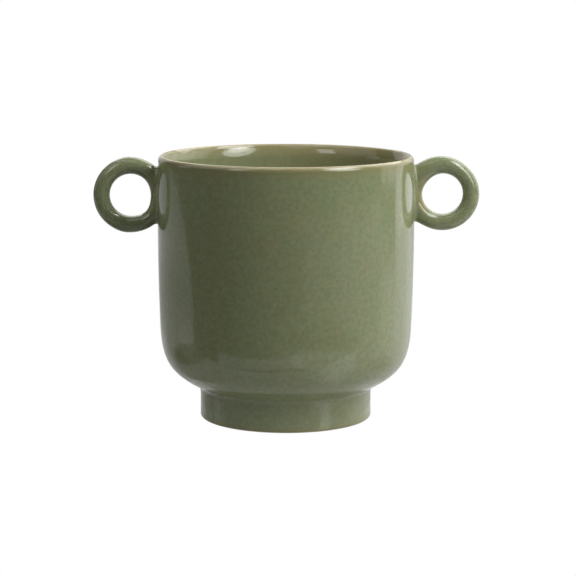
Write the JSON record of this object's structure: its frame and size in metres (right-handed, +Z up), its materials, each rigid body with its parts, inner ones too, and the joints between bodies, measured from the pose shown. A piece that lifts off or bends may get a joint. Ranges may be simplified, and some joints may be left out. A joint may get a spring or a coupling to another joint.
{
  "type": "ceramic planter",
  "caption": "Glossy green stoneware planter with a nearly straight wall, rounded belly, short foot ring and a ring handle on each side near the rim.",
  "frame": {"origin": "middle of the circle that the foot stands on, on the standing surface", "axes": "+Z up along the pot's axis, +X to the right through the middle of the right ring handle, front looks along -Y"},
  "size_m": [0.225, 0.1496, 0.1542],
  "materials": {
    "body_glaze": "glossy olive-sage glaze with a fine mottle, breaking to tan on the lip",
    "foot_glaze": "the same glaze, pooled a little darker at the neck, wiped to bare tan clay on the standing edge",
    "ring_glaze": "the same glaze, glossy, a little thinner over the round rod"
  },
  "bodies": {
    "root": {"pot_body": "body_glaze", "foot_ring": "foot_glaze", "right_ring_handle": "ring_glaze", "left_ring_handle": "ring_glaze"}
  },
  "joints": []
}
